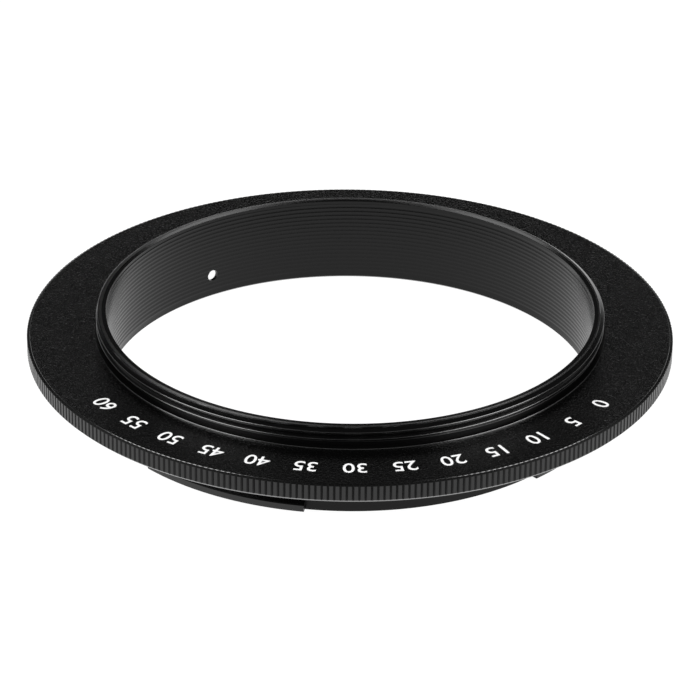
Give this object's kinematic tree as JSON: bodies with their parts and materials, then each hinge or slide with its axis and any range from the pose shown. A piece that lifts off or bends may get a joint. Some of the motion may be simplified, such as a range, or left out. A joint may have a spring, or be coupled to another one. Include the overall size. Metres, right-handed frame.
{
  "type": "macro reverse ring",
  "caption": "Black knurled reverse ring with a male filter thread on one side and a bayonet barrel on the other.",
  "frame": {"origin": "centre of the barrel's foot, the lowest face of the ring", "axes": "+Z along the optical axis, from the bayonet side up to the threaded collar; +X and +Y lie in the plane of the foot, with the side hole of the barrel at 126 degrees from +X towards +Y"},
  "size_m": [0.066, 0.066, 0.0091],
  "materials": {
    "black_anodised_aluminium": "matte, fine bead-blasted and anodised black"
  },
  "bodies": {
    "root": {"reverse_ring": "black_anodised_aluminium"}
  },
  "joints": []
}
